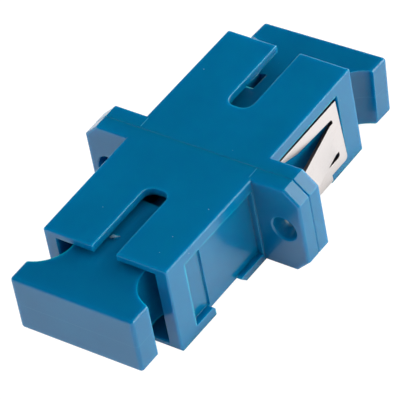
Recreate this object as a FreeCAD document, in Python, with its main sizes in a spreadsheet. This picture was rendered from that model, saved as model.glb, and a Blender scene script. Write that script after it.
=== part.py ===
import FreeCAD, Part
import os
import Sketcher

# Simplex fibre adapter: two identical moulded housing halves welded at the flange, each holding an
# inner latch moulding, with a split ceramic sleeve between them, a sheet steel panel clip in the side
# recesses of the rear half, and a push-in dust cap in each end.
#
# Millimetres. X runs across the flange, Y along the fibre, Z up. The origin is where the fibre axis
# meets the weld plane. Every half is modelled on the front side, which is -Y, and the rear one is the
# same part turned half round about Z.

SIZES = {
    # flange
    "flange_width": 22.0,
    "flange_half_thick": 1.56,
    "flange_bevel_across": 1.41,
    "flange_bevel_up": 1.34,
    "screw_inset": 2.0,
    "screw_hole_dia": 2.34,
    "screw_hole_lead": 0.12,
    "weld_groove": 0.1,
    "weld_line": 0.012,
    # housing shell
    "socket_width": 9.9,
    "side_wall": 1.45,
    "shell_draft": 0.11,
    "shell_height": 9.02,
    "shell_half_length": 13.85,
    "roof_thick": 0.76,
    "floor_thick": 0.56,
    "keyway_width": 2.4,
    "keyway_wall": 5.75,
    "keyway_end_round": 0.95,
    # seat for the latch plate
    "seat_depth": 1.6,
    "seat_step": 0.5,
    "plate_play": 0.05,
    # clip recess in the sides of a half
    "recess_deep": 0.56,
    "recess_flange_gap": 0.19,
    "recess_end": 11.5,
    "rim_height": 1.15,
    "end_lip_height": 0.95,
    "root_lip_height": 0.72,
    "strap_channel_start": 4.4,
    "strap_channel_end": 8.9,
    "strap_channel_deep": 0.39,
    "strap_edge_round": 0.3,
    "lip_round": 0.4,
    "panel_deep": 0.18,
    # edge finish of the mouldings
    "shell_edge_round": 0.2,
    "slot_edge_round": 0.12,
    "flange_edge_round": 0.25,
    "mouth_bevel": 0.12,
    # split sleeve and its holder
    "sleeve_outer_dia": 3.2,
    "sleeve_bore_dia": 2.49,
    "sleeve_length": 11.4,
    "sleeve_slit": 0.45,
    "sleeve_play": 0.12,
    "sleeve_end_play": 0.03,
    "holder_wall": 0.79,
    "holder_lip_thick": 0.32,
    "holder_mouth_dia": 2.7,
    # latch arms
    "arm_side_gap": 0.3,
    "arm_thick": 0.9,
    "arm_height": 2.6,
    "hook_start": 8.0,
    "hook_reach": 0.7,
    "hook_catch": 0.45,
    "hook_land": 0.3,
    "hook_lead": 0.85,
    # panel clip
    "sheet": 0.3,
    "clip_play": 0.04,
    "clip_splay": 0.38,
    "strap_play": 0.02,
    "clip_start_gap": 0.15,
    "clip_end_gap": 0.2,
    "clip_top_gap": 0.5,
    "clip_lip_gap": 0.05,
    "clip_corner": 0.4,
    "strap_gap": 0.05,
    "bend_inside": 0.2,
    "window_start": 3.0,
    "window_end_margin": 0.93,
    "window_knee": 5.2,
    "window_top_margin_root": 1.29,
    "window_top_margin_knee": 1.01,
    "window_top_margin_tip": 0.41,
    "window_low_margin_root": 0.91,
    "window_low_margin_tip": 1.3,
    "window_end_round": 0.3,
    "finger_top_margin": 1.76,
    "finger_low_margin": 1.69,
    "finger_flat": 0.45,
    "finger_tip": 3.35,
    "finger_reach": 1.5,
    "finger_lap": 0.1,
    # dust cap
    "cap_height": 5.7,
    "cap_plug_play": 0.35,
    "cap_tip_gap": 0.45,
    "cap_handle_width": 12.5,
    "cap_handle_thick": 2.23,
    "cap_overall": 12.51,
    "cap_scoop_round": 3.35,
    "cap_scoop_across": 7.0,
    "cap_scoop_along": 5.51,
    "cap_groove_gap": 0.45,
    "cap_groove_height": 4.5,
    "cap_groove_past": 1.4,
    "cap_core_width": 3.2,
    "cap_core_deep": 3.0,
    "cap_pocket_across": 1.8,
    "cap_pocket_wide": 0.75,
    "cap_pocket_from_back": 6.61,
    "cap_pocket_long": 2.2,
    "cap_pocket_deep": 1.4,
    "gate_across": 0.85,
    "gate_from_back": 7.81,
    "gate_dia": 0.5,
    "gate_height": 0.12,
    "cap_edge_round": 0.35,
    "front_cap_roof_gap": 0.45,
    "rear_cap_floor_gap": 0.72,
    "rear_cap_aside": 0.16,
    "rear_cap_droop": 5.0,
    "rear_cap_skew": 1.7,
}

NEAR = 0.02     # how close an edge lies to a plane to count as on it
BEYOND = 1.0    # how far a cutting outline runs past the faces it opens
TURNED = FreeCAD.Rotation(FreeCAD.Vector(0, 0, 1), 180)     # from the front half to the rear one

# Lengths that follow from the sheet, written as expressions in its names.
SOCKET_HALF = "Sizes.socket_width / 2"
HALF_WIDTH = f"({SOCKET_HALF} + Sizes.side_wall)"
SCREW = "(Sizes.flange_width / 2 - Sizes.screw_inset)"
TOP = "Sizes.shell_height / 2"
CEILING = f"({TOP} - Sizes.roof_thick)"
FLOOR = f"({TOP} - Sizes.floor_thick)"
RIM = f"({TOP} - Sizes.rim_height)"
END_LIP = f"({TOP} - Sizes.end_lip_height)"
ROOT_LIP = f"({TOP} - Sizes.root_lip_height)"
STRAP_ROOF = f"({TOP} - Sizes.strap_channel_deep)"
RECESS_FLOOR = f"({HALF_WIDTH} - Sizes.recess_deep)"
RECESS_START = "(Sizes.flange_half_thick + Sizes.recess_flange_gap)"
HOLDER_BORE = "(Sizes.sleeve_outer_dia + Sizes.sleeve_play) / 2"
HOLDER_OUTSIDE = f"({HOLDER_BORE} + Sizes.holder_wall)"
SLEEVE_STOP = "(Sizes.sleeve_length / 2 + Sizes.sleeve_end_play)"
HOLDER_END = f"({SLEEVE_STOP} + Sizes.holder_lip_thick)"
ARM_OUTSIDE = f"({SOCKET_HALF} - Sizes.arm_side_gap)"
ARM_INSIDE = f"({ARM_OUTSIDE} - Sizes.arm_thick)"
HOOK_FACE = f"({ARM_INSIDE} - Sizes.hook_reach)"
HOOK_END = "(Sizes.hook_start + Sizes.hook_catch + Sizes.hook_land)"
ARM_LENGTH = f"({HOOK_END} + Sizes.hook_lead)"
CLIP_TOP = f"({RIM} - Sizes.clip_top_gap)"
CLIP_TOP_INSIDE = f"({RECESS_FLOOR} + Sizes.clip_play)"
CLIP_FOOT_INSIDE = f"({CLIP_TOP_INSIDE} + Sizes.clip_splay)"
STRAP_INSIDE = f"({STRAP_ROOF} + Sizes.strap_play)"
STRAP_OUTSIDE = f"({STRAP_INSIDE} + Sizes.sheet)"
CLIP_START = f"({RECESS_START} + Sizes.clip_start_gap)"
PLATE_END = "(Sizes.recess_end - Sizes.clip_end_gap)"
PLATE_LOW = f"({END_LIP} - Sizes.clip_lip_gap)"
ROOT_LOW = f"({ROOT_LIP} - Sizes.clip_lip_gap)"
WINDOW_END = f"({PLATE_END} - Sizes.window_end_margin)"
FINGER_TOP = f"({CLIP_TOP} - Sizes.finger_top_margin)"
FINGER_LOW = f"({ROOT_LOW} - Sizes.finger_low_margin)"
FINGER_BEND = f"({WINDOW_END} - Sizes.finger_flat)"
CAP_TIP = f"({HOLDER_END} + Sizes.cap_tip_gap)"
CAP_BACK = f"({CAP_TIP} + Sizes.cap_overall)"
CAP_FRONT = f"({CAP_BACK} - Sizes.cap_handle_thick)"
CAP_TOP = "Sizes.cap_height / 2"
PLUG_HALF = f"({SOCKET_HALF} - Sizes.cap_plug_play)"
FRONT_CAP_LIFT = f"({CEILING} - Sizes.front_cap_roof_gap - {CAP_TOP})"
REAR_CAP_DROP = f"({FLOOR} - Sizes.rear_cap_floor_gap - {CAP_TOP})"
SCOOP = f"({CAP_BACK} - Sizes.cap_scoop_along)"


def make_sheet(doc):
    sheet = doc.addObject("Spreadsheet::Sheet", "Sizes")
    for row, (name, value) in enumerate(SIZES.items(), 1):
        sheet.set(f"A{row}", name)
        sheet.set(f"B{row}", str(value))
        sheet.setAlias(f"B{row}", name)
    doc.recompute()
    return sheet


doc = FreeCAD.newDocument("fibre_adapter")
sheet = make_sheet(doc)


def number(expression):
    return float(sheet.evalExpression(expression))


# Sketches

def sketch_on(body, name, role, offset="0"):
    """A sketch on one of the body's origin planes, moved along the plane's normal by offset.

    XY_Plane draws in (x, y) with its normal along +Z, XZ_Plane in (x, z) with its normal along -Y,
    and YZ_Plane in (y, z) with its normal along +X.
    """
    sketch = body.newObject("Sketcher::SketchObject", name)
    plane = next(feature for feature in body.Origin.OriginFeatures if feature.Role == role)
    sketch.AttachmentSupport = [(plane, "")]
    sketch.MapMode = "FlatFace"
    sketch.setExpression("AttachmentOffset.Base.z", offset)
    return sketch


def pin(sketch, curve, point, across, up):
    for kind, expression in (("DistanceX", across), ("DistanceY", up)):
        rule = Sketcher.Constraint(kind, -1, 1, curve, point, number(expression))
        index = sketch.addConstraint(rule)
        sketch.setExpression(f"Constraints[{index}]", expression)


def outline(sketch, corners):
    """A closed outline of straight lines through corners, each an (across, up) pair."""
    points = [FreeCAD.Vector(number(across), number(up), 0) for across, up in corners]
    first = sketch.GeometryCount
    count = len(points)
    for index in range(count):
        sketch.addGeometry(Part.LineSegment(points[index], points[(index + 1) % count]), False)
    for index in range(count):
        joined = first + (index + 1) % count
        sketch.addConstraint(Sketcher.Constraint("Coincident", first + index, 2, joined, 1))
    for index, (across, up) in enumerate(corners):
        pin(sketch, first + index, 1, across, up)


def rectangle(sketch, left, right, low, high):
    outline(sketch, [(left, low), (right, low), (right, high), (left, high)])


def circle(sketch, across, up, radius):
    centre = FreeCAD.Vector(number(across), number(up), 0)
    round_line = Part.Circle(centre, FreeCAD.Vector(0, 0, 1), number(radius))
    curve = sketch.addGeometry(round_line, False)
    index = sketch.addConstraint(Sketcher.Constraint("Radius", curve, number(radius)))
    sketch.setExpression(f"Constraints[{index}]", radius)
    pin(sketch, curve, 3, across, up)


# Features

def new_body(label):
    body = doc.addObject("PartDesign::Body", label)
    body.Label = label
    return body


def pad(body, sketch, length, reverse=False, both_ways=False):
    feature = body.newObject("PartDesign::Pad", sketch.Name + "Pad")
    feature.Profile = sketch
    feature.Reversed = reverse
    feature.SideType = "Symmetric" if both_ways else "One side"
    feature.setExpression("Length", length)
    doc.recompute()
    return feature


def pocket(body, sketch, length=None, reverse=False, both_ways=False):
    """Cut the sketch's area out of the body, through everything if no length is given.

    The cut runs against the sketch's normal unless it is reversed.
    """
    before = body.Shape.Volume
    feature = body.newObject("PartDesign::Pocket", sketch.Name + "Cut")
    feature.Profile = sketch
    feature.Reversed = reverse
    feature.SideType = "Symmetric" if both_ways else "One side"
    if length is None:
        feature.Type = "ThroughAll"
    else:
        feature.setExpression("Length", length)
    doc.recompute()
    if feature.Shape.Volume >= before:
        raise ValueError(f"{feature.Label} cuts nothing")
    return feature


def mirror_across(body, feature, role):
    plane = next(item for item in body.Origin.OriginFeatures if item.Role == role)
    mirrored = body.newObject("PartDesign::Mirrored", feature.Name + "Mirrored")
    mirrored.Originals = [feature]
    mirrored.MirrorPlane = (plane, [""])
    body.Tip = mirrored
    doc.recompute()
    return mirrored


def dress(body, kind, name, size, wanted):
    """Round or bevel the edges of the body whose bounding box is wanted."""
    base = body.Tip
    names = [
        f"Edge{index}"
        for index, edge in enumerate(base.Shape.Edges, 1)
        if wanted(edge.BoundBox)
    ]
    feature = body.newObject("PartDesign::" + kind, name)
    feature.Base = (base, names)
    feature.setExpression("Radius" if kind == "Fillet" else "Size", size)
    doc.recompute()
    return feature


def near(value, target):
    return abs(value - target) < NEAR


def flat_at(box, axis, target):
    """Whether a box lies wholly on the plane where axis has the target value."""
    return near(getattr(box, axis + "Min"), target) and near(getattr(box, axis + "Max"), target)


def side_at(box, axis, target):
    """Whether a box lies on the plane at the target value or on its mirror image."""
    return flat_at(box, axis, target) or flat_at(box, axis, -target)


def farthest(box, axis):
    return max(abs(getattr(box, axis + "Min")), abs(getattr(box, axis + "Max")))


def closest(box, axis):
    return min(abs(getattr(box, axis + "Min")), abs(getattr(box, axis + "Max")))


def across_sheet(box):
    """Whether an edge runs through the thickness of the clip's side plate."""
    return near(box.XLength, number("Sizes.sheet"))


# Housing halves

def shell_and_flange(body):
    plan = sketch_on(body, body.Name + "Plan", "XY_Plane")
    end = "-Sizes.shell_half_length"
    end_half = f"({HALF_WIDTH} - Sizes.shell_draft)"
    outline(plan, [
        (f"-{HALF_WIDTH}", "0"),
        (f"-{end_half}", end),
        (end_half, end),
        (HALF_WIDTH, "0"),
    ])
    pad(body, plan, "Sizes.shell_height", both_ways=True)
    flange = sketch_on(body, body.Name + "Flange", "XZ_Plane")
    ear = "Sizes.flange_width / 2"
    inner_ear = f"({ear} - Sizes.flange_bevel_across)"
    shoulder = f"({TOP} - Sizes.flange_bevel_up)"
    outline(flange, [
        (f"-{inner_ear}", f"-{TOP}"),
        (inner_ear, f"-{TOP}"),
        (ear, f"-{shoulder}"),
        (ear, shoulder),
        (inner_ear, TOP),
        (f"-{inner_ear}", TOP),
        (f"-{ear}", shoulder),
        (f"-{ear}", f"-{shoulder}"),
    ])
    pad(body, flange, "Sizes.flange_half_thick")


def socket(body):
    """The rectangular socket, the wider seat of the latch plate, and the keyway in the roof."""
    mouth = sketch_on(body, body.Name + "Socket", "XZ_Plane")
    rectangle(mouth, f"-{SOCKET_HALF}", SOCKET_HALF, f"-{FLOOR}", CEILING)
    pocket(body, mouth, reverse=True)
    seat = sketch_on(body, body.Name + "Seat", "XZ_Plane")
    wide = f"({SOCKET_HALF} + Sizes.seat_step)"
    rise = "Sizes.seat_step / 2"
    rectangle(seat, f"-{wide}", wide, f"-{FLOOR} - {rise}", f"{CEILING} + {rise}")
    pocket(body, seat, "Sizes.seat_depth", reverse=True)
    keyway = sketch_on(body, body.Name + "Keyway", "XY_Plane")
    side = "Sizes.keyway_width / 2"
    rectangle(keyway, f"-{side}", side, f"-Sizes.shell_half_length - {BEYOND}", "-Sizes.keyway_wall")
    pocket(body, keyway, reverse=True)


def clip_recess(body):
    """The shallow recess down both sides and under the floor, which the panel clip drops into."""
    side = sketch_on(body, body.Name + "Recess", "YZ_Plane", RECESS_FLOOR)
    strap_start = "-Sizes.strap_channel_start"
    strap_end = "-Sizes.strap_channel_end"
    slant = f"({TOP} - {ROOT_LIP})"
    below = f"-{TOP} - {BEYOND}"
    outline(side, [
        (f"-{RECESS_START}", RIM),
        ("-Sizes.recess_end", RIM),
        ("-Sizes.recess_end", f"-{END_LIP}"),
        (strap_end, f"-{END_LIP}"),
        (strap_end, below),
        (strap_start, below),
        (strap_start, f"-{TOP}"),
        (f"{strap_start} - {slant}", f"-{ROOT_LIP}"),
        (f"-{RECESS_START}", f"-{ROOT_LIP}"),
    ])
    right = pocket(body, side, reverse=True)
    mirror_across(body, right, "YZ_Plane")
    under = sketch_on(body, body.Name + "Strap", "YZ_Plane")
    outline(under, [
        (strap_end, f"-{STRAP_ROOF}"),
        (strap_end, below),
        (strap_start, below),
        (strap_start, f"-{TOP}"),
        (f"{strap_start} - Sizes.strap_channel_deep", f"-{STRAP_ROOF}"),
    ])
    pocket(body, under, both_ways=True)
    corner = -number("Sizes.strap_channel_end")
    lip = -number(END_LIP)
    dress(body, "Fillet", body.Name + "LipRound", "Sizes.lip_round",
          lambda box: flat_at(box, "Y", corner) and flat_at(box, "Z", lip))
    panel = sketch_on(body, body.Name + "Panel", "YZ_Plane", f"{RECESS_FLOOR} - Sizes.panel_deep")
    rectangle(panel, "-Sizes.recess_end", strap_end, f"-{END_LIP}", RIM)
    pocket(body, panel, reverse=True)


def screw_holes(body):
    holes = sketch_on(body, body.Name + "Holes", "XZ_Plane")
    for side in ("-", ""):
        circle(holes, f"{side}{SCREW}", "0", "Sizes.screw_hole_dia / 2")
    pocket(body, holes, reverse=True)


def housing_edges(body):
    """The small rounds of the mould, and the groove that the weld leaves round the flange."""
    name = body.Name
    end = -number("Sizes.shell_half_length")
    top = number(TOP)
    key = number("Sizes.keyway_width / 2")
    key_wall = -number("Sizes.keyway_wall")
    face = -number("Sizes.flange_half_thick")
    ear = number("Sizes.flange_width / 2")
    end_half = number(f"{HALF_WIDTH} - Sizes.shell_draft")
    wall = number(RECESS_FLOOR)
    strap_roof = -number(STRAP_ROOF)
    mouth = number(SOCKET_HALF)
    hole = number("Sizes.screw_hole_dia")
    dress(body, "Fillet", name + "KeywayEnd", "Sizes.keyway_end_round",
          lambda box: flat_at(box, "Y", key_wall) and side_at(box, "X", key))
    dress(body, "Fillet", name + "StrapEdge", "Sizes.strap_edge_round",
          lambda box: side_at(box, "X", wall) and flat_at(box, "Z", strap_roof))
    dress(body, "Chamfer", name + "WeldGroove", "Sizes.weld_groove",
          lambda box: flat_at(box, "Y", 0) and farthest(box, "X") > ear - NEAR)
    dress(body, "Chamfer", name + "WeldLine", "Sizes.weld_line",
          lambda box: flat_at(box, "Y", 0) and side_at(box, "Z", top))
    dress(body, "Fillet", name + "FlangeEdge", "Sizes.flange_edge_round",
          lambda box: flat_at(box, "Y", face) and flange_rim(box, ear, top))
    dress(body, "Fillet", name + "ShellEdge", "Sizes.shell_edge_round",
          lambda box: shell_rim(box, end, end_half, top))
    dress(body, "Chamfer", name + "MouthBevel", "Sizes.mouth_bevel",
          lambda box: flat_at(box, "Y", end) and farthest(box, "X") < mouth + NEAR
          and farthest(box, "Z") < number(FLOOR) + NEAR)
    dress(body, "Fillet", name + "KeywayEdge", "Sizes.slot_edge_round",
          lambda box: flat_at(box, "Z", top) and farthest(box, "X") < key + NEAR)
    dress(body, "Chamfer", name + "HoleLead", "Sizes.screw_hole_lead",
          lambda box: flat_at(box, "Y", face) and near(box.XLength, hole))


def flange_rim(box, ear, top):
    """Whether an edge of the flange's face is on its outline: an ear's side, bevel or top."""
    return farthest(box, "X") > ear - NEAR or side_at(box, "Z", top)


def shell_rim(box, end, end_half, top):
    """Whether an edge is a long top edge of the shell or goes round its end face."""
    long_top = flat_at(box, "Z", top) and near(box.YMin, end) and closest(box, "X") > end_half - NEAR
    at_end = flat_at(box, "Y", end) and (side_at(box, "X", end_half) or side_at(box, "Z", top))
    return long_top or at_end


def housing_half(label):
    body = new_body(label)
    shell_and_flange(body)
    socket(body)
    clip_recess(body)
    screw_holes(body)
    housing_edges(body)
    return body


# Latch mouldings: a plate across the middle with the sleeve holder and the two latch arms

def latch(label):
    body = new_body(label)
    plate = sketch_on(body, label + "Plate", "XZ_Plane")
    wide = f"({SOCKET_HALF} + Sizes.seat_step - Sizes.plate_play)"
    low = f"-({FLOOR} + Sizes.seat_step / 2 - Sizes.plate_play)"
    high = f"({CEILING} + Sizes.seat_step / 2 - Sizes.plate_play)"
    rectangle(plate, f"-{wide}", wide, low, high)
    pad(body, plate, "Sizes.seat_depth - Sizes.plate_play")
    holder = sketch_on(body, label + "Holder", "XZ_Plane")
    circle(holder, "0", "0", HOLDER_OUTSIDE)
    pad(body, holder, HOLDER_END)
    arms = sketch_on(body, label + "Arms", "XZ_Plane")
    arm_half = "Sizes.arm_height / 2"
    rectangle(arms, ARM_INSIDE, ARM_OUTSIDE, f"-{arm_half}", arm_half)
    rectangle(arms, f"-{ARM_OUTSIDE}", f"-{ARM_INSIDE}", f"-{arm_half}", arm_half)
    pad(body, arms, ARM_LENGTH)
    hooks = sketch_on(body, label + "Hooks", "XY_Plane")
    for side in ("", "-"):
        outline(hooks, [
            (f"{side}{ARM_OUTSIDE}", "-Sizes.hook_start"),
            (f"{side}{ARM_INSIDE}", "-Sizes.hook_start"),
            (f"{side}{HOOK_FACE}", "-Sizes.hook_start - Sizes.hook_catch"),
            (f"{side}{HOOK_FACE}", f"-{HOOK_END}"),
            (f"{side}{ARM_INSIDE}", f"-{ARM_LENGTH}"),
            (f"{side}{ARM_OUTSIDE}", f"-{ARM_LENGTH}"),
        ])
    pad(body, hooks, "Sizes.arm_height", both_ways=True)
    bore = sketch_on(body, label + "Bore", "XZ_Plane")
    circle(bore, "0", "0", HOLDER_BORE)
    pocket(body, bore, SLEEVE_STOP, reverse=True)
    mouth = sketch_on(body, label + "Mouth", "XZ_Plane")
    circle(mouth, "0", "0", "Sizes.holder_mouth_dia / 2")
    pocket(body, mouth, reverse=True)
    return body


def split_sleeve(label):
    body = new_body(label)
    ring = sketch_on(body, label + "Ring", "XZ_Plane")
    circle(ring, "0", "0", "Sizes.sleeve_outer_dia / 2")
    circle(ring, "0", "0", "Sizes.sleeve_bore_dia / 2")
    pad(body, ring, "Sizes.sleeve_length", both_ways=True)
    slit = sketch_on(body, label + "Slit", "XZ_Plane")
    half = "Sizes.sleeve_slit / 2"
    rectangle(slit, f"-{half}", half, "0", "Sizes.sleeve_outer_dia")
    pocket(body, slit, both_ways=True)
    return body


# Panel clip: one strip of sheet steel, a plate on each side and a strap under the floor, with a
# spring finger lanced out of each plate

def clip_strip(body):
    """The strip bent to a U whose sides lean in a little towards the top, cut to its outline."""
    profile = sketch_on(body, body.Name + "Profile", "XZ_Plane")
    top_out = f"({CLIP_TOP_INSIDE} + Sizes.sheet)"
    foot_out = f"({CLIP_FOOT_INSIDE} + Sizes.sheet)"
    outline(profile, [
        (f"-{top_out}", CLIP_TOP),
        (f"-{foot_out}", f"-{STRAP_OUTSIDE}"),
        (foot_out, f"-{STRAP_OUTSIDE}"),
        (top_out, CLIP_TOP),
        (CLIP_TOP_INSIDE, CLIP_TOP),
        (CLIP_FOOT_INSIDE, f"-{STRAP_INSIDE}"),
        (f"-{CLIP_FOOT_INSIDE}", f"-{STRAP_INSIDE}"),
        (f"-{CLIP_TOP_INSIDE}", CLIP_TOP),
    ])
    pad(body, profile, PLATE_END)
    side = sketch_on(body, body.Name + "Side", "YZ_Plane")
    strap_end = "-(Sizes.strap_channel_end - Sizes.strap_gap)"
    slant = f"({TOP} - {ROOT_LIP})"
    strap_start = f"-(Sizes.strap_channel_start + {slant} + Sizes.strap_gap)"
    under = f"-{STRAP_OUTSIDE} - {BEYOND}"
    rectangle(side, f"-{PLATE_END} - {BEYOND}", strap_end, under, f"-{PLATE_LOW}")
    outline(side, [
        (strap_start, under),
        ("0", under),
        ("0", f"{CLIP_TOP} + {BEYOND}"),
        (f"-{CLIP_START}", f"{CLIP_TOP} + {BEYOND}"),
        (f"-{CLIP_START}", f"-{ROOT_LOW}"),
        (strap_start, f"-{ROOT_LOW}"),
    ])
    pocket(body, side, both_ways=True)


def clip_bends(body):
    end = -number(PLATE_END)
    inside = number(CLIP_FOOT_INSIDE)
    outside = number(f"{CLIP_FOOT_INSIDE} + Sizes.sheet")
    dress(body, "Fillet", body.Name + "Corner", "Sizes.clip_corner",
          lambda box: flat_at(box, "Y", end) and across_sheet(box) and box.ZMax < 0)
    dress(body, "Fillet", body.Name + "BendInside", "Sizes.bend_inside",
          lambda box: side_at(box, "X", inside) and flat_at(box, "Z", -number(STRAP_INSIDE)))
    dress(body, "Fillet", body.Name + "BendOutside", "Sizes.bend_inside + Sizes.sheet",
          lambda box: side_at(box, "X", outside) and flat_at(box, "Z", -number(STRAP_OUTSIDE)))


def clip_windows(body):
    window = sketch_on(body, body.Name + "Window", "YZ_Plane")
    outline(window, [
        (f"-{WINDOW_END}", f"{CLIP_TOP} - Sizes.window_top_margin_root"),
        (f"-{WINDOW_END}", f"-{PLATE_LOW} + Sizes.window_low_margin_root"),
        ("-Sizes.window_start", f"-{ROOT_LOW} + Sizes.window_low_margin_tip"),
        ("-Sizes.window_start", f"{CLIP_TOP} - Sizes.window_top_margin_tip"),
        ("-Sizes.window_knee", f"{CLIP_TOP} - Sizes.window_top_margin_knee"),
    ])
    pocket(body, window, both_ways=True)
    root = -number(WINDOW_END)
    dress(body, "Fillet", body.Name + "WindowEnd", "Sizes.window_end_round",
          lambda box: flat_at(box, "Y", root) and across_sheet(box))


def clip_fingers(body):
    """The fingers, drawn from above in a plane square to the leaning plate and set at its outside."""
    tall = f"({CLIP_TOP} + {STRAP_OUTSIDE})"
    lean = f"atan(Sizes.clip_splay / {tall})"
    splay = f"Sizes.clip_splay * ({CLIP_TOP} + {FINGER_LOW}) / {tall}"
    finger = sketch_on(body, body.Name + "Finger", "XY_Plane", f"-{FINGER_LOW}")
    turn = FreeCAD.Rotation(FreeCAD.Vector(0, 1, 0), -number(lean))
    finger.AttachmentOffset = FreeCAD.Placement(FreeCAD.Vector(), turn)
    finger.setExpression("AttachmentOffset.Base.x", f"{CLIP_TOP_INSIDE} + Sizes.sheet + {splay}")
    finger.setExpression("AttachmentOffset.Rotation.Angle", f"-{lean}")
    run = f"({FINGER_BEND} - Sizes.finger_tip)"
    slant_sheet = f"(Sizes.sheet * sqrt({run} ^ 2 + Sizes.finger_reach ^ 2) / {run})"
    root_end = f"({WINDOW_END} + Sizes.finger_lap)"
    outline(finger, [
        ("0", f"-{root_end}"),
        ("0", f"-{FINGER_BEND}"),
        ("Sizes.finger_reach", "-Sizes.finger_tip"),
        (f"Sizes.finger_reach - {slant_sheet}", "-Sizes.finger_tip"),
        ("-Sizes.sheet", f"-{FINGER_BEND}"),
        ("-Sizes.sheet", f"-{root_end}"),
    ])
    mirror_across(body, pad(body, finger, f"{FINGER_TOP} + {FINGER_LOW}"), "YZ_Plane")


def panel_clip(label):
    body = new_body(label)
    clip_strip(body)
    clip_bends(body)
    clip_windows(body)
    clip_fingers(body)
    return body


# Dust caps: a plug with a groove for each latch hook, scooped sides and a flat handle

def cap_block(body):
    plan = sketch_on(body, body.Name + "Plan", "XY_Plane")
    handle = "Sizes.cap_handle_width / 2"
    outline(plan, [
        (f"-{handle}", f"-{CAP_BACK}"),
        (handle, f"-{CAP_BACK}"),
        (handle, f"-{SCOOP}"),
        (PLUG_HALF, f"-{SCOOP}"),
        (PLUG_HALF, f"-{CAP_TIP}"),
        (f"-{PLUG_HALF}", f"-{CAP_TIP}"),
        (f"-{PLUG_HALF}", f"-{SCOOP}"),
        (f"-{handle}", f"-{SCOOP}"),
    ])
    pad(body, plan, "Sizes.cap_height", both_ways=True)
    scoops = sketch_on(body, body.Name + "Scoops", "XY_Plane")
    for side in ("", "-"):
        circle(scoops, f"{side}Sizes.cap_scoop_across", f"-{SCOOP}", "Sizes.cap_scoop_round")
    pocket(body, scoops, both_ways=True)


def cap_hollows(body):
    """The hook grooves, the core in the tip, and the small pocket beside the middle of the top."""
    grooves = sketch_on(body, body.Name + "Grooves", "XZ_Plane")
    floor = f"({HOOK_FACE} - Sizes.cap_groove_gap)"
    side = f"({PLUG_HALF} + {BEYOND})"
    half = "Sizes.cap_groove_height / 2"
    rectangle(grooves, floor, side, f"-{half}", half)
    rectangle(grooves, f"-{side}", f"-{floor}", f"-{half}", half)
    pocket(body, grooves, f"{ARM_LENGTH} + Sizes.cap_groove_past", reverse=True)
    core = sketch_on(body, body.Name + "Core", "XZ_Plane")
    half = "Sizes.cap_core_width / 2"
    rectangle(core, f"-{half}", half, f"-{half}", half)
    pocket(body, core, f"{CAP_TIP} + Sizes.cap_core_deep", reverse=True)
    top = sketch_on(body, body.Name + "TopPocket", "XY_Plane", CAP_TOP)
    near_side = "Sizes.cap_pocket_across"
    pocket_end = f"-{CAP_BACK} + Sizes.cap_pocket_from_back"
    rectangle(top, near_side, f"{near_side} + Sizes.cap_pocket_wide",
              pocket_end, f"{pocket_end} + Sizes.cap_pocket_long")
    pocket(body, top, "Sizes.cap_pocket_deep")


def cap_edges(body):
    back = -number(CAP_BACK)
    front = -number(CAP_FRONT)
    handle = number("Sizes.cap_handle_width / 2")
    top = number(CAP_TOP)
    dress(body, "Fillet", body.Name + "Rounds", "Sizes.cap_edge_round",
          lambda box: flat_at(box, "Y", back)
          or (box.YMin < front and side_at(box, "X", handle) and side_at(box, "Z", top)))
    gate = sketch_on(body, body.Name + "Gate", "XY_Plane", CAP_TOP)
    circle(gate, "-Sizes.gate_across", f"-{CAP_BACK} + Sizes.gate_from_back", "Sizes.gate_dia / 2")
    pad(body, gate, "Sizes.gate_height")


def dust_cap(label):
    body = new_body(label)
    cap_block(body)
    cap_hollows(body)
    cap_edges(body)
    return body


# Placing and writing

def lift(body, height):
    body.Placement = FreeCAD.Placement(FreeCAD.Vector(0, 0, number(height)), FreeCAD.Rotation())


def turn_to_rear(body):
    body.Placement = FreeCAD.Placement(FreeCAD.Vector(), TURNED)


def droop_at_rear(body):
    """Turn the cap to the rear socket and let its handle drop about the tip of its plug."""
    droop = FreeCAD.Rotation(FreeCAD.Vector(1, 0, 0), -number("Sizes.rear_cap_droop"))
    skew = FreeCAD.Rotation(FreeCAD.Vector(0, 0, 1), number("Sizes.rear_cap_skew"))
    turn = skew.multiply(droop).multiply(TURNED)
    tip = FreeCAD.Vector(0, -number(CAP_TIP), 0)
    aside = number("Sizes.rear_cap_aside")
    drop = number(REAR_CAP_DROP)
    seat = FreeCAD.Vector(aside, number(CAP_TIP), -drop)
    body.Placement = FreeCAD.Placement(seat - turn.multVec(tip), turn)


def check(doc, nodes):
    for item in doc.Objects:
        if "Invalid" in item.State or "Error" in item.State:
            raise ValueError(f"{item.Label} is {item.State}")
    for node in nodes:
        if node.Shape.isNull() or not node.Shape.isValid():
            raise ValueError(f"{node.Label} has no valid shape")
        if len(node.Shape.Solids) != 1:
            raise ValueError(f"{node.Label} is {len(node.Shape.Solids)} solids")


def write(nodes):
    os.makedirs("parts", exist_ok=True)
    for node in nodes:
        node.Shape.exportStep(f"parts/{node.Label}.step")
        print(node.Label, round(node.Shape.Volume, 2), "mm3")


front_housing = housing_half("front_housing")
rear_housing = housing_half("rear_housing")
front_latch = latch("front_latch")
rear_latch = latch("rear_latch")
sleeve = split_sleeve("alignment_sleeve")
clip = panel_clip("panel_clip")
front_cap = dust_cap("front_dust_cap")
rear_cap = dust_cap("rear_dust_cap")

for piece in (rear_housing, rear_latch, clip):
    turn_to_rear(piece)
lift(front_cap, FRONT_CAP_LIFT)
droop_at_rear(rear_cap)
doc.recompute()

pieces = [front_housing, rear_housing, front_latch, rear_latch, sleeve, clip, front_cap, rear_cap]
check(doc, pieces)
write(pieces)
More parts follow.
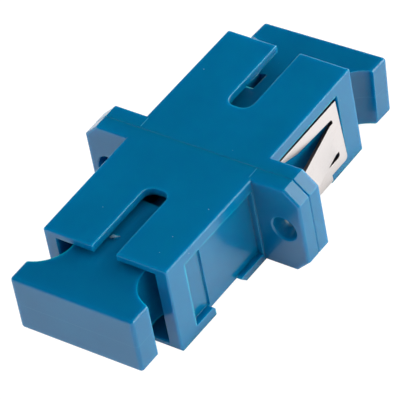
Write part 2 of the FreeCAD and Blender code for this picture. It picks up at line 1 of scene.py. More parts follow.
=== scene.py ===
# %% [markdown]
# # A fibre adapter, dressed in Blender
#
# The part is a plastic block about 38 mm long that joins two fibre plugs. Two blue mouldings are
# welded together at a flange, a bright steel clip sits in one of them, and each end is closed with a
# blue dust cap. The solids come ready made and stay where they are: this script gives each of them a
# real finish, adds the small leftovers of moulding and welding, and sets up a table and lamps.
#
# Everything is in metres. X runs across the flange, Y along the fibre and Z up.

# %% Load the solids
import math
import random

import bmesh
import bpy
from mathutils import Matrix, Vector


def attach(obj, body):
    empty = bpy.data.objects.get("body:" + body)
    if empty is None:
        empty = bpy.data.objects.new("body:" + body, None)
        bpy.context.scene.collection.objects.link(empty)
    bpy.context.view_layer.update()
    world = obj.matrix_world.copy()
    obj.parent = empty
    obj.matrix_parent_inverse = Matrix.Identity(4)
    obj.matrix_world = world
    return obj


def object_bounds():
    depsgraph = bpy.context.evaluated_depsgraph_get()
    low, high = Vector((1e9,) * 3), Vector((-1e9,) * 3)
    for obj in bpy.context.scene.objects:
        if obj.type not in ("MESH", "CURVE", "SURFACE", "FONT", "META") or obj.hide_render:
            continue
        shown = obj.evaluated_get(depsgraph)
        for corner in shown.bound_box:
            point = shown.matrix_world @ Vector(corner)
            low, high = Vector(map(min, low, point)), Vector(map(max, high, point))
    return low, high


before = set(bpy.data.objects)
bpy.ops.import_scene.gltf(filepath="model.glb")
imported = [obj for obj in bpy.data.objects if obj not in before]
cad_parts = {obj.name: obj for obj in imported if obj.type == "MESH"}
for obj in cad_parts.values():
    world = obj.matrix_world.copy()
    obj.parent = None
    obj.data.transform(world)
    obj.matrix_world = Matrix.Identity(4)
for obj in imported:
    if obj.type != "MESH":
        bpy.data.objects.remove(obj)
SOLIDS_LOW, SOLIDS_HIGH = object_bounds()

MM = 0.001
ADAPTER, FRONT_CAP, REAR_CAP = "adapter", "front_cap", "rear_cap"
print("solids", [round(side / MM, 2) for side in SOLIDS_HIGH - SOLIDS_LOW], "mm")

# %% [markdown]
# ## Writing a shader like a formula
#
# A shader tree is a drawing of arithmetic, and long trees are easier to read as arithmetic. `Wire` is
# one output of a node, and adding, scaling or comparing wires adds the Math nodes. `Graph` holds a
# tree, and its `node` method makes every other kind of node: settings first, because some of them
# change the sockets, and then the sockets. `Finish` is the graph of one material.

# %% A wire
class Wire:
    """One output in a node graph. Arithmetic on it adds Math nodes."""

    def __init__(self, graph, socket):
        self.graph = graph
        self.socket = socket

    def _maths(self, operation, first, second):
        return self.graph.node("ShaderNodeMath", {"operation": operation}, {0: first, 1: second})

    def __add__(self, other):
        return self._maths("ADD", self, other)

    def __sub__(self, other):
        return self._maths("SUBTRACT", self, other)

    def __rsub__(self, other):
        return self._maths("SUBTRACT", other, self)

    def __mul__(self, other):
        return self._maths("MULTIPLY", self, other)

    def __lt__(self, other):
        return self._maths("LESS_THAN", self, other)

    def __gt__(self, other):
        return self._maths("GREATER_THAN", self, other)

    def __abs__(self):
        return self._maths("ABSOLUTE", self, 0.0)

    __radd__ = __add__
    __rmul__ = __mul__


# %% A graph
class Graph:
    """A node tree, and the one way that nodes are put into it."""

    def __init__(self, tree):
        self.tree = tree

    def node(self, kind, settings=None, inputs=None, output=0):
        """Add a node and return the wire from one of its outputs, if it has any."""
        made = self.tree.nodes.new(kind)
        for key, value in (settings or {}).items():
            setattr(made, key, value)
        for key, value in (inputs or {}).items():
            self.feed(made.inputs[key], value)
        return Wire(self, made.outputs[output]) if made.outputs else None

    def feed(self, socket, value):
        """Give a socket a wire or a plain value."""
        if isinstance(value, Wire):
            self.tree.links.new(value.socket, socket)
        else:
            socket.default_value = value


# %% A finish
class Finish(Graph):
    """One material, with the principled shader at the end of its tree."""

    def __init__(self, name, **constants):
        self.material = bpy.data.materials.new(name)
        self.material.use_nodes = True
        super().__init__(self.material.node_tree)
        self.shader = self.tree.nodes["Principled BSDF"]
        self.place = self.node("ShaderNodeTexCoord", output="Object")
        for socket, value in constants.items():
            self.set(socket.replace("_", " "), value)

    def set(self, name, value):
        """Feed one socket of the principled shader."""
        self.feed(self.shader.inputs[name], value)

    def along(self, axis, vector=None):
        """One coordinate of a vector, or of the place on the object."""
        return self.node("ShaderNodeSeparateXYZ", {}, {0: vector or self.place}, output=axis)

    def done(self):
        """The finished material."""
        print(self.material.name, len(self.tree.nodes), "nodes")
        return self.material


# %% [markdown]
# ## Patterns that several finishes share
#
# Every pattern reads Object coordinates. The solids keep their place in their meshes, so these are
# real metres, and a size can be given as a length: a grain of 0.15 mm has a noise scale of one over
# 0.15 mm. `cloud` is soft noise, `streaks` is the same noise pulled long in one direction, and
# `specks` are rare round dots where a cell's centre happens to lie in the surface.

# %% Noise and dots
def cloud(finish, size, detail=2.0, place=None):
    """Soft noise from 0 to 1 whose lumps are about size across."""
    return finish.node("ShaderNodeTexNoise", {}, {
        "Vector": place or finish.place,
        "Scale": 1 / size,
        "Detail": detail,
    })


def streaks(finish, size, stretch, detail=2.0):
    """Noise whose lumps are size across and longer by stretch, a factor for each axis."""
    pulled = finish.node("ShaderNodeMapping", {}, {
        "Vector": finish.place,
        "Scale": [1 / factor for factor in stretch],
    })
    return cloud(finish, size, detail, pulled)


def specks(finish, spacing, size, seed):
    """Rare round dots of about the given size, in a few of the cells."""
    shifted = finish.node("ShaderNodeMapping", {}, {
        "Vector": finish.place, "Location": [seed * spacing, seed * spacing, 0.0],
    })
    cells = {"Vector": shifted, "Scale": 1 / spacing}
    distance = finish.node("ShaderNodeTexVoronoi", {}, cells, output="Distance")
    return distance < size / spacing / 2


# %% [markdown]
# A pattern becomes a mask when it is cut between two levels. `soft_step` is that cut, and with the
# larger level first it is turned over. `thin_corners` finds outer corners in another way: it looks
# from the skin into the plastic, and where it soon meets another face there is a corner. `rounding`
# bends the normal at every edge, because no moulded or cut edge is quite sharp.

# %% Masks, blends and edges
def soft_step(graph, value, low, high):
    """0 at low and beyond, 1 at high and beyond, and smooth between."""
    return graph.node("ShaderNodeMapRange", {"interpolation_type": "SMOOTHSTEP"}, {
        "Value": value, "From Min": low, "From Max": high,
    })


def fine_line(finish, distance, width):
    """1 on a line where the distance is nought, fading to 0 at half the width."""
    return soft_step(finish, abs(distance), width / 2, width / 8)


def blend(finish, share, first, second):
    """The first colour where share is 0 and the second where it is 1."""
    return finish.node("ShaderNodeMix", {"data_type": "RGBA"}, {
        "Factor": share, "A": first, "B": second,
    }, output="Result")


def rounding(finish, radius):
    """The normal with every edge rounded by the radius."""
    return finish.node("ShaderNodeBevel", {"samples": 6}, {"Radius": radius})


def thin_corners(finish, depth):
    """A mask of outer corners only: where a short way in, the plastic comes to another face."""
    inward = finish.node("ShaderNodeAmbientOcclusion", {
        "samples": 6, "inside": True, "only_local": True,
    }, {"Distance": depth}, output="AO")
    return soft_step(finish, inward, 0.98, 0.55)


# %% [markdown]
# ## Blue moulded plastic
#
# The housings, latches and caps are one family: a polyester with blue pigment, moulded in a polished
# tool. Light goes about a millimetre into it, green and blue further than red, and that softens its
# edges, so the colour comes from subsurface scattering. A real moulding is never one flat colour. The
# pigment drifts a little along the flow, the skin has a faint orange peel and shallow sinks that bend
# reflections, corners are slightly rounded, and there is always a grain of dust. Outer corners carry a
# painted highlight, a paler blue in patches, which is partly the pale of rubbed corners. The
# refractive index is that of the plastic, so the grazing reflections of a white table come out as
# strong as they should.

# %% Colours and sizes of the blue plastic
HOUSING_BLUES = (0.0, 0.169, 0.364, 1.0), (0.0, 0.182, 0.388, 1.0)
CAP_BLUES = (0.0, 0.150, 0.330, 1.0), (0.0, 0.162, 0.352, 1.0)
# painted highlight on outer corners, partly the pale of rubbed corners
BLUE_EDGE_HIGHLIGHT_AND_RUB = (0.0, 0.260, 0.490, 1.0)
BLUE_SCORED = (0.06, 0.38, 0.62, 1.0)
# painted highlight along the weld seam, against the shade of its groove
BLUE_SEAM_HIGHLIGHT = (0.0, 0.190, 0.470, 1.0)
DUST = (0.30, 0.46, 0.56, 1.0)
PLASTIC_INDEX = 1.56
LIGHT_DEPTHS = (0.3, 1.5, 1.6)
DRIFT_SIZE, HAZE_SIZE, SINK_SIZE, PEEL_SIZE = 6 * MM, 3.5 * MM, 3.0 * MM, 0.16 * MM
# depth and patch size of the painted corner highlight
EDGE_HIGHLIGHT_RUB_DEPTH, EDGE_HIGHLIGHT_RUB_SIZE = 0.30 * MM, 1.2 * MM
DUST_SPACING, DUST_SIZE = 2.6 * MM, 0.10 * MM
HAIRLINE_WIDTH, HAIRLINE_STRETCH = 0.05 * MM, (1.0, 60.0, 1.0)
SEAM_HIGHLIGHT_REACH = 0.16 * MM
SKIN_RELIEF = 0.01 * MM
MOULDED_EDGE = 0.08 * MM


# %% The blue plastic
def moulded_plastic(name, seed, blues=HOUSING_BLUES, gloss=0.16, marks=None, seam_highlight=False):
    """Blue plastic. marks gives a mask of scored lines, and the seam flag a lighter blue along the
    seam in the plane Y = 0, a painted highlight that lifts the shade of the weld groove.
    """
    finish = Finish(
        name, IOR=PLASTIC_INDEX, Subsurface_Weight=1.0, Subsurface_Scale=MM,
        Subsurface_Radius=LIGHT_DEPTHS,
    )
    drift = soft_step(finish, cloud(finish, DRIFT_SIZE, 3.0), 0.35, 0.65)
    # painted highlight: outer corners turn a paler blue in patches, partly rub wear
    patchy = soft_step(finish, cloud(finish, EDGE_HIGHLIGHT_RUB_SIZE), 0.15, 0.65)
    edge_highlight_and_rub = thin_corners(finish, EDGE_HIGHLIGHT_RUB_DEPTH) * patchy
    dust = specks(finish, DUST_SPACING, DUST_SIZE, seed)
    mark = marks(finish) if marks else 0.0
    colour = blend(finish, drift, *blues)
    colour = blend(finish, edge_highlight_and_rub * 0.25, colour, BLUE_EDGE_HIGHLIGHT_AND_RUB)
    colour = blend(finish, mark, colour, BLUE_SCORED)
    # painted highlight: a lighter blue along the weld seam that lifts the groove's shade
    if seam_highlight:
        seam_highlight_mask = soft_step(finish, abs(finish.along("Y")), SEAM_HIGHLIGHT_REACH, 0.0)
        colour = blend(finish, seam_highlight_mask, colour, BLUE_SEAM_HIGHLIGHT)
    finish.set("Base Color", blend(finish, dust * 0.7, colour, DUST))
    haze = cloud(finish, HAZE_SIZE, 3.0)
    hairlines = streaks(finish, HAIRLINE_WIDTH, HAIRLINE_STRETCH)
    scratched = soft_step(finish, hairlines, 0.68, 0.74)
    finish.set("Roughness", gloss - 0.03 + haze * 0.06 + scratched * 0.05 + dust * 0.3)
    peel = cloud(finish, PEEL_SIZE, 1.0)
    sinks = cloud(finish, SINK_SIZE, 1.0)
    height = peel * 0.06 + sinks * 1.6 + dust * 0.8 + mark * 1.5
    finish.set("Normal", finish.node("ShaderNodeBump", {}, {
        "Strength": 0.25, "Distance": SKIN_RELIEF, "Height": height,
        "Normal": rounding(finish, MOULDED_EDGE),
    }))
    return finish.done()


# %% [markdown]
# ## Where the caps sit
#
# The two caps are one moulding, and they are loose in their sockets. The front cap is only lifted. The
# rear cap is turned half round, droops at its grip and is a little askew. What belongs to a cap is
# described once, in the cap's own axes, and then put in its seat with one of these two matrices.

# %% The seats of the caps
FRONT_CAP_LIFT = 0.45 * MM
REAR_CAP_TIP = Vector((0.16, 6.5, -0.38)) * MM
CAP_TIP = Vector((0, -6.5, 0)) * MM
REAR_CAP_SKEW = 1.7
REAR_CAP_DROOP = 5.0
HALF_ROUND = 180

front_cap_seat = Matrix.Translation((0, 0, FRONT_CAP_LIFT))
rear_cap_seat = (
    Matrix.Translation(REAR_CAP_TIP)
    @ Matrix.Rotation(math.radians(REAR_CAP_SKEW), 4, "Z")
    @ Matrix.Rotation(math.radians(-REAR_CAP_DROOP), 4, "X")
    @ Matrix.Rotation(math.radians(HALF_ROUND), 4, "Z")
    @ Matrix.Translation(-CAP_TIP)
)
print("the rear cap droops", REAR_CAP_DROOP, "and is askew by", REAR_CAP_SKEW, "degrees")

# %% [markdown]
# ## What the mould leaves behind
#
# A moulding remembers its tool. The caps have a parting line round the middle of their height, where
# the two halves of the tool met. The housing has a short weld mark on the flange where each upper
# edge of the shell runs into it, and round witness marks underneath, where pins pushed it out of the
# tool. All of them are a tenth of a millimetre or less, so they are drawn in colour and bump.

# %% Marks of the caps
PARTING_WIDTH = 0.12 * MM
PARTING_STRENGTH = 0.1


def parting_line(seat):
    """The marks of a cap: a line in the middle plane of the cap that sits at seat."""
    upward = (seat.to_3x3() @ Vector((0, 0, 1))).normalized()
    level = upward.dot(seat.translation)

    def marks(finish):
        height = finish.node("ShaderNodeVectorMath", {"operation": "DOT_PRODUCT"}, {
            0: finish.place, 1: upward,
        }, output="Value")
        return fine_line(finish, height - level, PARTING_WIDTH) * PARTING_STRENGTH
    return marks


# %% Marks of the housings
SHELL_EDGE = 6.05 * MM
UNDERSIDE = -4.4 * MM
WELD_MARK_WIDTH = 0.10 * MM
WELD_MARK_START = 0.08 * MM, 0.20 * MM
WELD_MARK_END = 1.45 * MM, 1.15 * MM
PIN_PLACE = Vector((3.4, 9.4, 0)) * MM
PIN_RADIUS = 0.9 * MM
PIN_LINE_WIDTH = 0.08 * MM
PIN_STRENGTH = 0.4


def housing_marks(finish):
    """The marks of both housings: weld marks beside the flange on top, and rings underneath."""
    x, y, z = (finish.along(axis) for axis in "XYZ")
    on_top = z > -UNDERSIDE
    beside = fine_line(finish, abs(x) - SHELL_EDGE, WELD_MARK_WIDTH)
    near_flange = soft_step(finish, abs(y), *WELD_MARK_END)
    own_corner = x * y < 0.0
    off_seam = soft_step(finish, abs(y), *WELD_MARK_START)
    weld_mark = on_top * beside * near_flange * own_corner * off_seam
    mirrored = finish.node("ShaderNodeCombineXYZ", {}, {"X": abs(x), "Y": abs(y)})
    off_centre = finish.node("ShaderNodeVectorMath", {"operation": "DISTANCE"}, {
        0: mirrored, 1: PIN_PLACE,
    }, output="Value")
    ring = fine_line(finish, off_centre - PIN_RADIUS, PIN_LINE_WIDTH)
    pin_mark = (z < UNDERSIDE) * ring * PIN_STRENGTH
    return weld_mark + pin_mark


# %% [markdown]
# ## Rolled steel
#
# The clip is stamped from bright spring strip. Strip keeps the fine lines of the rolls along its
# length, which spread reflections across them, so the lines go into both the roughness and the bump.
# The edges that the punch sheared stay rough, and their colour is painted near-black: partly dull
# brown sheared steel, partly painted shade.

# %% The sheared edges
STRAP_BEND = -3.9 * MM
SIDE_COSINE = 0.5
END_COSINE = 0.7


def cut_edges(finish):
    """A mask of the sheared edges: they face along Y, or along Z where the strip stands upright."""
    normal = finish.node("ShaderNodeTexCoord", output="Normal")
    off_side = abs(finish.along("X", normal)) < SIDE_COSINE
    upright = finish.along("Z") > STRAP_BEND
    endways = abs(finish.along("Y", normal)) > END_COSINE
    return finish.node("ShaderNodeMath", {"operation": "MAXIMUM"}, {
        0: off_side * upright, 1: endways,
    })


# %% The steel strip
STEEL = (0.88, 0.83, 0.82, 1.0)
STEEL_DULL = (0.78, 0.72, 0.705, 1.0)
# near-black: partly dull sheared steel, partly painted shade
STEEL_CUT_AND_SHADE = (0.09, 0.07, 0.075, 1.0)
ROLL_LINE_WIDTH, ROLL_LINE_STRETCH = 0.025 * MM, (1.0, 120.0, 1.0)
MOTTLE_SIZE = 1.4 * MM
ROLLED_RELIEF = 0.004 * MM
STAMPED_EDGE = 0.05 * MM


def rolled_steel(name):
    """Bright strip with roll lines along it and sheared edges painted near-black, partly dull steel
    and partly painted shade.
    """
    finish = Finish(name, Metallic=1.0, Anisotropic=0.35)
    lines = streaks(finish, ROLL_LINE_WIDTH, ROLL_LINE_STRETCH, 3.0)
    mottle = cloud(finish, MOTTLE_SIZE, 3.0)
    cut_and_shade = cut_edges(finish)
    colour = blend(finish, lines * 0.5 + mottle * 0.5, STEEL_DULL, STEEL)
    # painted shade on the sheared edges, on top of their own dull brown
    finish.set("Base Color", blend(finish, cut_and_shade, colour, STEEL_CUT_AND_SHADE))
    finish.set("Roughness", 0.2 + lines * 0.12 + mottle * 0.06 + cut_and_shade * 0.25)
    finish.set("Normal", finish.node("ShaderNodeBump", {}, {
        "Strength": 0.3, "Distance": ROLLED_RELIEF, "Height": lines + mottle * 2.0,
        "Normal": rounding(finish, STAMPED_EDGE),
    }))
    return finish.done()


# %% [markdown]
# ## Ground ceramic
#
# The split sleeve is zirconia, ground outside and lapped inside. It is white with a touch of cream,
# shiny, and has faint rings from the grinding wheel round it.

# %% The ceramic
CERAMIC = (0.86, 0.85, 0.80, 1.0)
CERAMIC_SHADE = (0.80, 0.78, 0.72, 1.0)
CERAMIC_INDEX = 2.1
RING_LINE_WIDTH, RING_LINE_STRETCH = 0.04 * MM, (40.0, 1.0, 40.0)
CERAMIC_GRAIN = 0.3 * MM
GROUND_RELIEF = 0.003 * MM


def ground_ceramic(name):
    """Shiny cream white with grinding rings round the fibre's axis."""
    finish = Finish(name, IOR=CERAMIC_INDEX)
    rings = streaks(finish, RING_LINE_WIDTH, RING_LINE_STRETCH)
    grain = cloud(finish, CERAMIC_GRAIN, 3.0)
    finish.set("Base Color", blend(finish, grain, CERAMIC_SHADE, CERAMIC))
    finish.set("Roughness", 0.14 + rings * 0.12)
    finish.set("Normal", finish.node("ShaderNodeBump", {}, {
        "Strength": 0.2, "Distance": GROUND_RELIEF, "Height": rings + grain,
    }))
    return finish.done()


# %% [markdown]
# ## Putting the finishes on
#
# Each solid keeps its own mesh and place, and only its material slot changes. The two caps get their
# own seed, so that the dust on them differs from that on the housings.

# %% Make the finishes
# the housings carry the painted highlight along their weld seam
HOUSING_FINISH = moulded_plastic("housing_blue", 1, marks=housing_marks, seam_highlight=True)
LATCH_FINISH = moulded_plastic("latch_blue", 2, gloss=0.20)
FRONT_CAP_FINISH = moulded_plastic(
    "front_cap_blue", 3, CAP_BLUES, marks=parting_line(front_cap_seat),
)
REAR_CAP_FINISH = moulded_plastic(
    "rear_cap_blue", 4, CAP_BLUES, marks=parting_line(rear_cap_seat),
)
STEEL_FINISH = rolled_steel("clip_rolled_steel")
CERAMIC_FINISH = ground_ceramic("sleeve_zirconia")

# %% Dress the solids
FINISHES = {
    "front_housing": HOUSING_FINISH,
    "rear_housing": HOUSING_FINISH,
    "front_latch": LATCH_FINISH,
    "rear_latch": LATCH_FINISH,
    "alignment_sleeve": CERAMIC_FINISH,
    "panel_clip": STEEL_FINISH,
    "front_dust_cap": FRONT_CAP_FINISH,
    "rear_dust_cap": REAR_CAP_FINISH,
}
for node, finish in FINISHES.items():
    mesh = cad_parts[node].data
    mesh.materials.clear()
    mesh.materials.append(finish)
print("dressed", len(FINISHES), "solids")

# %% [markdown]
# ## Torn gates
#
# Plastic enters the mould through a small gate, and the caps are broken off there by hand. What is
# left on each cap is a ragged leaf, paler than the rest because the plastic was stretched. It is
# built in the cap's own axes as a row of uneven rings from root to tip, and then put in its seat.

# %% The rings of a leaf
LEAF_ROOT = Vector((-1.36, -11.38, 2.88)) * MM
LEAF_TIP = Vector((-0.52, -11.04, 2.97)) * MM
LEAF_WIDTHS = (0.06, 0.17, 0.22, 0.19, 0.12, 0.08, 0.05, 0.02)
LEAF_LIFTS = (0.00, 0.03, 0.07, 0.08, 0.05, 0.02, 0.03, 0.05)
LEAF_THICK = 0.045 * MM
RING_CORNERS = 10
RAGGED_WIDTH = 0.75, 1.2
RAGGED_THICKNESS = 0.7, 1.2
UP = Vector((0, 0, 1))


def leaf_rings(mesh, seat, uneven):
    """The vertices of a leaf, ring by ring from root to tip."""
    along = LEAF_TIP - LEAF_ROOT
    across = along.cross(UP).normalized()
    rings = []
    for step, (width, lift) in enumerate(zip(LEAF_WIDTHS, LEAF_LIFTS)):
        middle = LEAF_ROOT + along * (step / (len(LEAF_WIDTHS) - 1)) + UP * (lift * MM)
        ring = []
        for corner in range(RING_CORNERS):
            turn = math.tau * corner / RING_CORNERS
            reach = width * MM * uneven.uniform(*RAGGED_WIDTH) * math.cos(turn)
            rise = LEAF_THICK * uneven.uniform(*RAGGED_THICKNESS) * math.sin(turn)
            ring.append(mesh.verts.new(seat @ (middle + across * reach + UP * rise)))
        rings.append(ring)
    return rings


# %% A leaf as an object
def torn_leaf(name, seat, seed):
    """A closed leaf of rings, ragged along its edges."""
    mesh = bmesh.new()
    rings = leaf_rings(mesh, seat, random.Random(seed))
    for first, second in zip(rings, rings[1:]):
        for corner in range(RING_CORNERS):
            after = (corner + 1) % RING_CORNERS
            mesh.faces.new((first[corner], first[after], second[after], second[corner]))
    mesh.faces.new(rings[0])
    mesh.faces.new(rings[-1])
    bmesh.ops.recalc_face_normals(mesh, faces=mesh.faces)
    data = bpy.data.meshes.new(name)
    mesh.to_mesh(data)
    mesh.free()
    leaf = bpy.data.objects.new(name, data)
    bpy.context.scene.collection.objects.link(leaf)
    return leaf


# %% Stretched plastic
TORN_BLUE = (0.05, 0.22, 0.40, 1.0)
TORN_WHITE = (0.24, 0.42, 0.54, 1.0)
CRAZE_SIZE = 0.07 * MM
TORN_RELIEF = 0.02 * MM


def stretched_plastic(name):
    """Blue gone pale where it was torn: whiter in patches, and rough."""
    finish = Finish(name, IOR=PLASTIC_INDEX)
    crazed = soft_step(finish, cloud(finish, CRAZE_SIZE, 4.0), 0.35, 0.6)
    finish.set("Base Color", blend(finish, crazed, TORN_BLUE, TORN_WHITE))
    finish.set("Roughness", 0.42 + crazed * 0.25)
    finish.set("Normal", finish.node("ShaderNodeBump", {}, {
        "Strength": 0.6, "Distance": TORN_RELIEF, "Height": crazed,
    }))
    return finish.done()


# %% A leaf on each cap
TORN_FINISH = stretched_plastic("torn_gate_blue")
for body, seat, seed in ((FRONT_CAP, front_cap_seat, 11), (REAR_CAP, rear_cap_seat, 12)):
    leaf = torn_leaf(body + "_gate_leaf", seat, seed)
    leaf.data.materials.append(TORN_FINISH)
    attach(leaf, body)
    print(leaf.name, len(leaf.data.polygons), "faces")

# %% [markdown]
# ## Weld flash
#
# The two housings are pressed together while their faces are molten, and a little plastic squeezes
# out into the groove round each ear. It sits there as tiny uneven beads. Geometry Nodes suit this:
# the groove is a path, the path is cut into steps, most of the steps are dropped at random, and an
# uneven bead stands on each of the rest.

# %% The path of the groove
EAR_SIDE = 11.0 * MM
EAR_TOP = 4.51 * MM
EAR_INNER = 9.59 * MM
EAR_SHOULDER = 3.17 * MM
EAR_OUTLINE = (
    (EAR_INNER, EAR_TOP),
    (EAR_SIDE, EAR_SHOULDER),
    (EAR_SIDE, -EAR_SHOULDER),
    (EAR_INNER, -EAR_TOP),
)
GROOVE_INSET = 0.075 * MM


def groove_path():
    """The bottom of the groove round both ears, as two open rows of edges."""
    points = []
    edges = []
    for side in (-1, 1):
        first = len(points)
        for x, z in EAR_OUTLINE:
            points.append((side * (x - GROOVE_INSET), 0.0, z - math.copysign(GROOVE_INSET, z)))
        edges += [(step, step + 1) for step in range(first, len(points) - 1)]
    path = bpy.data.meshes.new("groove_path")
    path.from_pydata(points, edges, [])
    return path


# %% The bead tree
BEAD_INPUTS = {
    "Spacing": ("NodeSocketFloat", 0.30 * MM),
    "Bead Radius": ("NodeSocketFloat", 0.045 * MM),
    "Dropped Share": ("NodeSocketFloat", 0.72),
    "Seed": ("NodeSocketInt", 5),
    "Finish": ("NodeSocketMaterial", HOUSING_FINISH),
}
BEAD_TURNS = (0, 0, 0), (math.tau, math.tau, math.tau)
BEAD_STRETCHES = (0.5, 0.5, 0.5), (1.5, 1.2, 1.2)
YES_OR_NO_OUTPUT = 3


def bead_tree(name):
    """A tree that sets uneven beads along a path of edges."""
    graph = Graph(bpy.data.node_groups.new(name, "GeometryNodeTree"))
    sockets = graph.tree.interface
    sockets.new_socket("Geometry", in_out="INPUT", socket_type="NodeSocketGeometry")
    for label, (kind, _) in BEAD_INPUTS.items():
        sockets.new_socket(label, in_out="INPUT", socket_type=kind)
    sockets.new_socket("Geometry", in_out="OUTPUT", socket_type="NodeSocketGeometry")
    node = graph.node

    def given(label):
        return node("NodeGroupInput", output=label)

    def chance(low, high):
        return node("FunctionNodeRandomValue", {"data_type": "FLOAT_VECTOR"}, {
            0: low, 1: high, "Seed": given("Seed"),
        })

    curve = node("GeometryNodeMeshToCurve", {}, {"Mesh": given("Geometry")})
    steps = node("GeometryNodeCurveToPoints", {"mode": "LENGTH"}, {
        "Curve": curve, "Length": given("Spacing"),
    })
    dropped = node("FunctionNodeRandomValue", {"data_type": "BOOLEAN"}, {
        "Probability": given("Dropped Share"), "Seed": given("Seed"),
    }, YES_OR_NO_OUTPUT)
    kept = node("GeometryNodeDeleteGeometry", {"domain": "POINT"}, {
        "Geometry": steps, "Selection": dropped,
    })
    bead = node("GeometryNodeMeshIcoSphere", {}, {
        "Radius": given("Bead Radius"), "Subdivisions": 2,
    })
    beads = node("GeometryNodeInstanceOnPoints", {}, {
        "Points": kept,
        "Instance": bead,
        "Rotation": chance(*BEAD_TURNS),
        "Scale": chance(*BEAD_STRETCHES),
    })
    real = node("GeometryNodeRealizeInstances", {}, {"Geometry": beads})
    dressed = node("GeometryNodeSetMaterial", {}, {"Geometry": real, "Material": given("Finish")})
    node("NodeGroupOutput", {}, {"Geometry": dressed})
    print(name, len(graph.tree.nodes), "nodes")
    return graph.tree


# %% A path and a tree make a mesh
def grown(name, path, tree, values):
    """Run a Geometry Nodes tree on a path and keep the result as a plain mesh."""
    grower = bpy.data.objects.new(name + "_grower", path)
    bpy.context.scene.collection.objects.link(grower)
    modifier = grower.modifiers.new("nodes", "NODES")
    modifier.node_group = tree
    for item in tree.interface.items_tree:
        if item.name in values:
            modifier[item.identifier] = values[item.name]
    sampled = grower.evaluated_get(bpy.context.evaluated_depsgraph_get())
    piece = bpy.data.objects.new(name, bpy.data.meshes.new_from_object(sampled))
    bpy.data.objects.remove(grower)
    bpy.context.scene.collection.objects.link(piece)
    return piece


# %% Beads in the groove
BEAD_VALUES = {label: value for label, (_, value) in BEAD_INPUTS.items()}
BEAD_CORNERS = 42
flash = grown("weld_flash", groove_path(), bead_tree("weld_beads"), BEAD_VALUES)
for polygon in flash.data.polygons:
    polygon.use_smooth = True
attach(flash, ADAPTER)
print("weld flash", len(flash.data.vertices) // BEAD_CORNERS, "beads")

# %% [markdown]
# ## The table
#
# The part lies on a white sheet that is lit so brightly that it reads as pure white. Light Path lets
# the sheet be white for the camera and in reflections, while it still takes a faint shadow and throws
# only ordinary light back on the part. Close to the part the sheet lies in shade, so what a glossy
# face mirrors there fades: an ambient occlusion node tells how much open sky each place sees.

# %% The white sheet
SHEET_WHITE = (0.94, 0.94, 0.94, 1.0)
WHITE_LIGHT = (1, 1, 1, 1)
GLOW = 1.15
CAMERA_SHARE = 0.85
MIRROR_SHARE = 0.75
SHADE_REACH = 2.5 * MM


def ray_is(graph, kind):
    """1 for rays of this kind, such as camera rays, and 0 for all others."""
    return graph.node("ShaderNodeLightPath", output=f"Is {kind} Ray")


def white_sheet(name):
    """Matt white that glows for the camera and in reflections."""
    finish = Finish(name, Base_Color=SHEET_WHITE, Roughness=0.9)
    mirrored = ray_is(finish, "Glossy") + ray_is(finish, "Transmission")
    open_sky = finish.node("ShaderNodeAmbientOcclusion", {"samples": 8}, {
        "Distance": SHADE_REACH,
    }, output="AO")
    level = (1 - mirrored * (1 - open_sky)) * GLOW
    glow = finish.node("ShaderNodeEmission", {}, {"Color": WHITE_LIGHT, "Strength": level})
    share = ray_is(finish, "Camera") * CAMERA_SHARE + mirrored * MIRROR_SHARE
    paper = Wire(finish, finish.shader.outputs["BSDF"])
    mixed = finish.node("ShaderNodeMixShader", {}, {0: share, 1: paper, 2: glow})
    finish.feed(finish.tree.nodes["Material Output"].inputs["Surface"], mixed)
    return finish.done()


# %% Lay the table
TABLE_SIZE = 4.0
TABLE_GAP = 0.02 * MM


def lay_table():
    """One square just under the part."""
    half = TABLE_SIZE / 2
    low = SOLIDS_LOW.z - TABLE_GAP
    corners = [(-half, -half, low), (half, -half, low), (half, half, low), (-half, half, low)]
    mesh = bpy.data.meshes.new("table")
    mesh.from_pydata(corners, [], [(0, 1, 2, 3)])
    mesh.materials.append(white_sheet("table_white"))
    table = bpy.data.objects.new("table", mesh)
    bpy.context.scene.collection.objects.link(table)
    print("table", TABLE_SIZE, "m across, at a height of", round(low / MM, 2), "mm")


lay_table()

# %% [markdown]
# ## The air
#
# The air round the table is white for the camera, so that every view has the same background. In
# reflections it is white near the table and dark overhead, as in a studio whose lamps hang from a
# dark ceiling: that is why upward faces keep their full colour and upright ones look frosted. To all
# other light it is an even grey that fills the shadows.

# %% The studio's air
SKY_LEVEL = 0.46
WHITE_BELOW = 0.02
DARK_ABOVE = 0.36


def studio_air():
    """A world whose strength depends on what kind of ray meets it."""
    world = bpy.data.worlds.new("studio")
    world.use_nodes = True
    bpy.context.scene.world = world
    world.node_tree.nodes.clear()
    air = Graph(world.node_tree)
    direction = air.node("ShaderNodeTexCoord", output="Generated")
    upward = air.node("ShaderNodeSeparateXYZ", {}, {0: direction}, output="Z")
    mirrored = soft_step(air, upward, DARK_ABOVE, WHITE_BELOW)
    unseen = air.node("ShaderNodeMix", {}, {
        "Factor": ray_is(air, "Glossy"), "A": SKY_LEVEL, "B": mirrored,
    }, output="Result")
    level = air.node("ShaderNodeMix", {}, {
        "Factor": ray_is(air, "Camera"), "A": unseen, "B": 1.0,
    }, output="Result")
    glow = air.node("ShaderNodeBackground", {}, {"Strength": level})
    air.node("ShaderNodeOutputWorld", {}, {"Surface": glow})
    print("studio air of", len(air.tree.nodes), "nodes")


studio_air()

# %% [markdown]
# ## The lamps
#
# Three soft boxes: a long strong one on the clip's side, the only one that glossy faces mirror, a
# square one overhead and a weak one in front. A lamp's strength is easiest to think of as the
# brightness of a white card that faces it, where 1 is a card that renders white, so `soft_box` works
# the watts out from that and the distance.

# %% A soft box
AIM = Vector((0, 0, 0))
NO_TINT = (1.0, 1.0, 1.0)
KEY_TINT = (1.0, 1.0, 0.90)


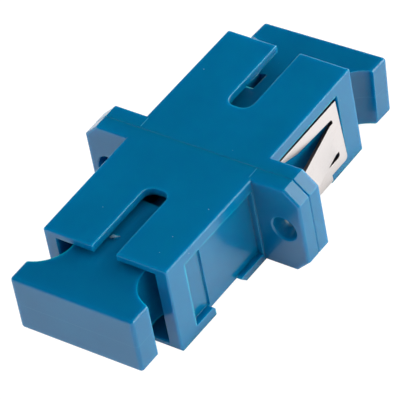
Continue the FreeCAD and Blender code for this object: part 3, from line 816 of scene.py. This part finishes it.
def soft_box(name, place, width, height, card_level, tint=NO_TINT, seen=False):
    """A rectangular lamp that lights a white card at the aim to card_level."""
    place = Vector(place)
    lamp = bpy.data.lights.new(name, "AREA")
    lamp.shape = "RECTANGLE"
    lamp.size = width
    lamp.size_y = height
    lamp.color = tint
    lamp.energy = card_level * (math.pi * (place - AIM).length) ** 2
    box = bpy.data.objects.new(name, lamp)
    box.location = place
    box.rotation_euler = (AIM - place).to_track_quat("-Z", "Y").to_euler()
    box.visible_camera = False
    box.visible_glossy = seen
    bpy.context.scene.collection.objects.link(box)
    print("soft box", name, round(lamp.energy, 2), "W")


# %% Hang the lamps
soft_box("clip_side", (0.62, 0.50, 0.25), 2.20, 0.56, 1.95, KEY_TINT, seen=True)
soft_box("overhead", (0.0, 0.0, 0.80), 1.20, 1.20, 0.32)
soft_box("front_left", (-0.45, -0.60, 0.24), 0.70, 0.40, 0.30)

# %% [markdown]
# ## The camera
#
# A long lens from above the corner between the front end and the clip's side, rolled a little, so
# that the part lies across the picture from lower left to upper right.

# %% Aim the camera
LOOK_AT = Vector((-0.11, -0.97, -0.73)) * MM
TURN = math.radians(42.07)
RISE = math.radians(41.39)
ROLL = math.radians(-11.54)
DISTANCE = 347.4 * MM
LENS = 370.5
SENSOR_WIDTH = 36.0
NEAREST, FARTHEST = 0.01, 10.0


def aim_camera():
    """A camera at its distance from what it looks at, turned, raised and rolled."""
    back = Vector((
        math.sin(TURN) * math.cos(RISE), -math.cos(TURN) * math.cos(RISE), math.sin(RISE),
    ))
    level = (-back).to_track_quat("-Z", "Y")
    lens = bpy.data.cameras.new("long_lens")
    lens.lens = LENS
    lens.sensor_width = SENSOR_WIDTH
    lens.clip_start = NEAREST
    lens.clip_end = FARTHEST
    camera = bpy.data.objects.new("camera", lens)
    turned = level.to_matrix().to_4x4() @ Matrix.Rotation(ROLL, 4, "Z")
    camera.matrix_world = Matrix.Translation(LOOK_AT + back * DISTANCE) @ turned
    bpy.context.scene.collection.objects.link(camera)
    bpy.context.scene.camera = camera
    print("camera", round(DISTANCE / MM, 1), "mm away, with a lens of", LENS, "mm")


aim_camera()
bpy.context.scene.view_settings.view_transform = "Standard"
